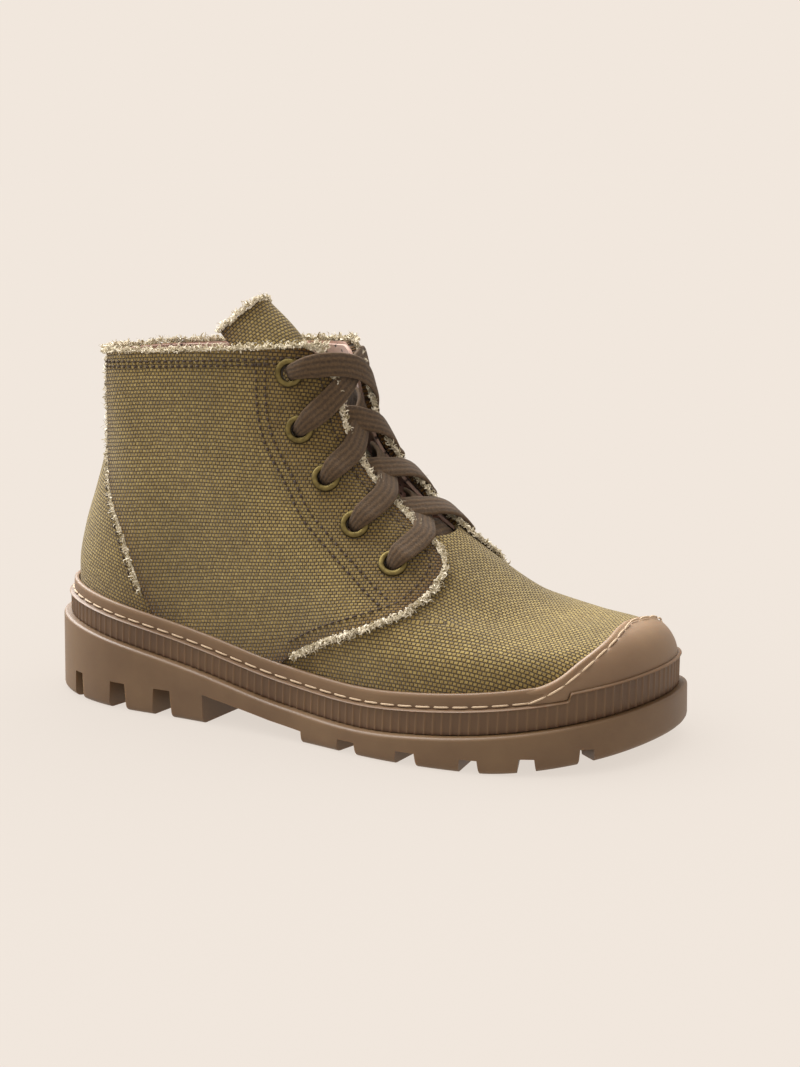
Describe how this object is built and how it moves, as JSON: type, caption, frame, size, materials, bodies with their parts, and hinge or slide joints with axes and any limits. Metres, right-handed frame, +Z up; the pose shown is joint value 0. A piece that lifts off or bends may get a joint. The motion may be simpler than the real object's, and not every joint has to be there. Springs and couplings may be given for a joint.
{
  "type": "canvas ankle boot",
  "caption": "Child's lace-up canvas ankle boot for the right foot, open at the collar and throat, on a rubber lug sole with a ribbed sidewall and a toe cap.",
  "frame": {"origin": "on the floor, under the middle of the boot's bounding box", "axes": "+X towards the toe, +Y towards the inner (medial) side of the foot, +Z up"},
  "size_m": [0.219, 0.0862, 0.13],
  "materials": {
    "sole_rubber": "moulded gum rubber, satin",
    "sidewall_rubber": "gum rubber band, ribbed below and smooth at its lip",
    "toe_cap_rubber": "smooth matt gum rubber",
    "canvas": "heavy olive canvas with frayed edges",
    "tongue_canvas": "heavy olive canvas",
    "insole_cloth": "sock lining cloth",
    "lace_cotton": "flat woven cotton",
    "eyelet_brass": "antique brass, worn"
  },
  "bodies": {
    "root": {"outsole": "sole_rubber", "sidewall": "sidewall_rubber", "toe_cap": "toe_cap_rubber", "upper": "canvas", "tongue": "tongue_canvas", "insole": "insole_cloth", "lace_bar": "lace_cotton", "lace_crossing_1": "lace_cotton", "lace_crossing_2": "lace_cotton", "lace_crossing_3": "lace_cotton", "lace_crossing_4": "lace_cotton", "eyelet_outer_1": "eyelet_brass", "eyelet_outer_2": "eyelet_brass", "eyelet_outer_3": "eyelet_brass", "eyelet_outer_4": "eyelet_brass", "eyelet_outer_5": "eyelet_brass", "eyelet_inner_1": "eyelet_brass", "eyelet_inner_2": "eyelet_brass", "eyelet_inner_3": "eyelet_brass", "eyelet_inner_4": "eyelet_brass", "eyelet_inner_5": "eyelet_brass"}
  },
  "joints": []
}
